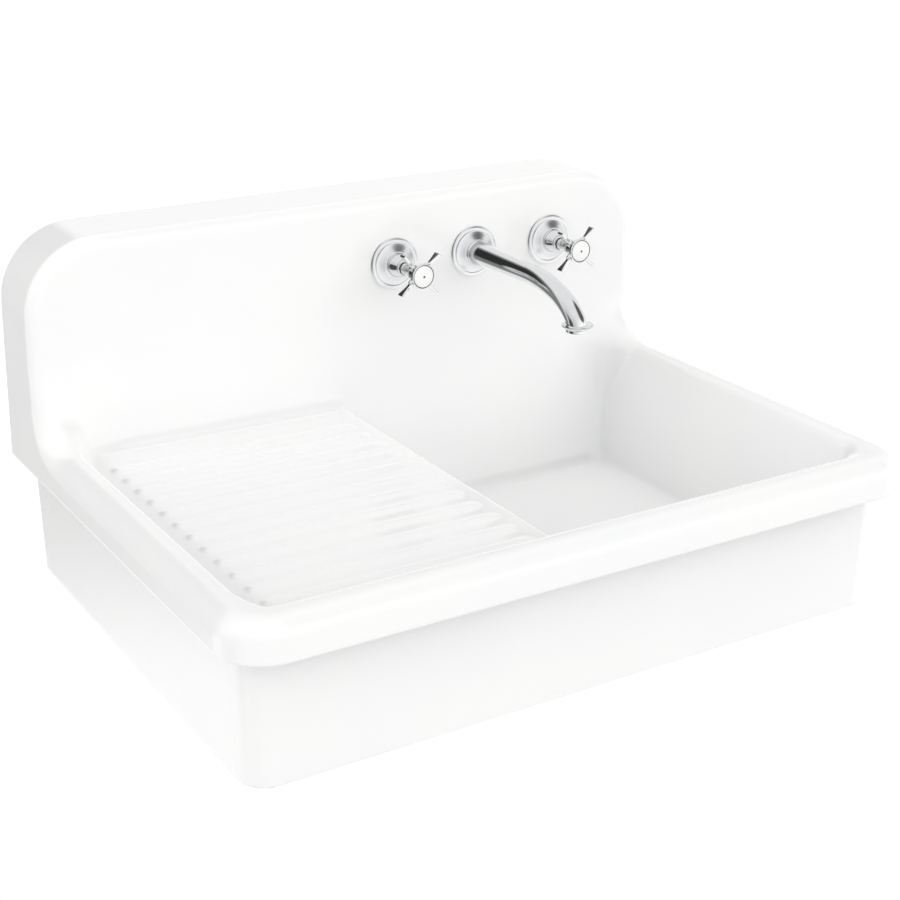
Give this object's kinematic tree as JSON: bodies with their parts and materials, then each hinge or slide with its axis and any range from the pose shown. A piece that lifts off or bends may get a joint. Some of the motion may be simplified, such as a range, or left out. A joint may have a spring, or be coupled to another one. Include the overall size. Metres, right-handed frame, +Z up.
{
  "type": "kitchen sink with drainboard",
  "caption": "Wall-hung enamelled cast-iron kitchen sink with ribbed drainboard, deep basin and high backsplash, cross-handle wall taps, curved spout and basket strainer.",
  "frame": {"origin": "centre of the wall hanger's four screw holes, on the wall plane", "axes": "+X to the user's right along the sink, +Y into the wall, +Z up"},
  "size_m": [0.7366, 0.5588, 0.476],
  "materials": {
    "enamel": "white vitreous enamel, glossy",
    "chrome": "polished chrome plate",
    "steel": "stainless steel, fine brushed",
    "brass": "raw machined brass",
    "copper": "drawn copper tube",
    "rubber": "moulded rubber",
    "ceramic_disc": "lapped ceramic",
    "index_ceramic": "white glazed, bare",
    "nylon": "moulded",
    "card": "fibre board",
    "zinc": "zinc-plated pressed steel"
  },
  "bodies": {
    "root": {"cold_backnut": "brass", "cold_bonnet": "chrome", "cold_cartridge": "brass", "cold_escutcheon": "chrome", "cold_escutcheon_seal": "rubber", "cold_fixed_disc": "ceramic_disc", "cold_rear_washer": "rubber", "cold_transfer_pipe": "copper", "cold_valve_body": "brass", "compression_nuts": "brass", "coupling_nut": "chrome", "flow_straightener": "nylon", "friction_ring": "card", "hot_backnut": "brass", "hot_bonnet": "chrome", "hot_cartridge": "brass", "hot_escutcheon": "chrome", "hot_escutcheon_seal": "rubber", "hot_fixed_disc": "ceramic_disc", "hot_rear_washer": "rubber", "hot_transfer_pipe": "copper", "hot_valve_body": "brass", "mixing_tee": "brass", "olives": "brass", "sink_casting": "enamel", "spout": "chrome", "spout_backnut": "brass", "spout_escutcheon": "chrome", "spout_escutcheon_seal": "rubber", "spout_rear_washer": "rubber", "spout_shank": "brass", "strainer_body": "steel", "strainer_gasket": "rubber", "strainer_locknut": "brass", "tailpiece": "chrome", "tailpiece_washer": "rubber", "wall_hanger": "zinc"},
    "hot_handle": {"hot_cross_handle": "chrome", "hot_spindle": "brass", "hot_moving_disc": "ceramic_disc", "hot_handle_screw": "steel", "hot_index_cap": "index_ceramic"},
    "cold_handle": {"cold_cross_handle": "chrome", "cold_spindle": "brass", "cold_moving_disc": "ceramic_disc", "cold_handle_screw": "steel", "cold_index_cap": "index_ceramic"},
    "basket": {"strainer_basket": "steel", "basket_post": "steel", "basket_seal": "rubber"}
  },
  "joints": [
    {"name": "hot_turn", "type": "hinge", "parent": "root", "child": "hot_handle", "pos_m": [0.0449, -0.139, -0.014], "axis": [0, -1, 0], "range_deg": [0, 90]},
    {"name": "cold_turn", "type": "hinge", "parent": "root", "child": "cold_handle", "pos_m": [0.2481, -0.139, -0.014], "axis": [0, 1, 0], "range_deg": [0, 90]},
    {"name": "basket_lift", "type": "slide", "parent": "root", "child": "basket", "axis": [0, 0, 1], "range_m": [0, 0.06]}
  ]
}
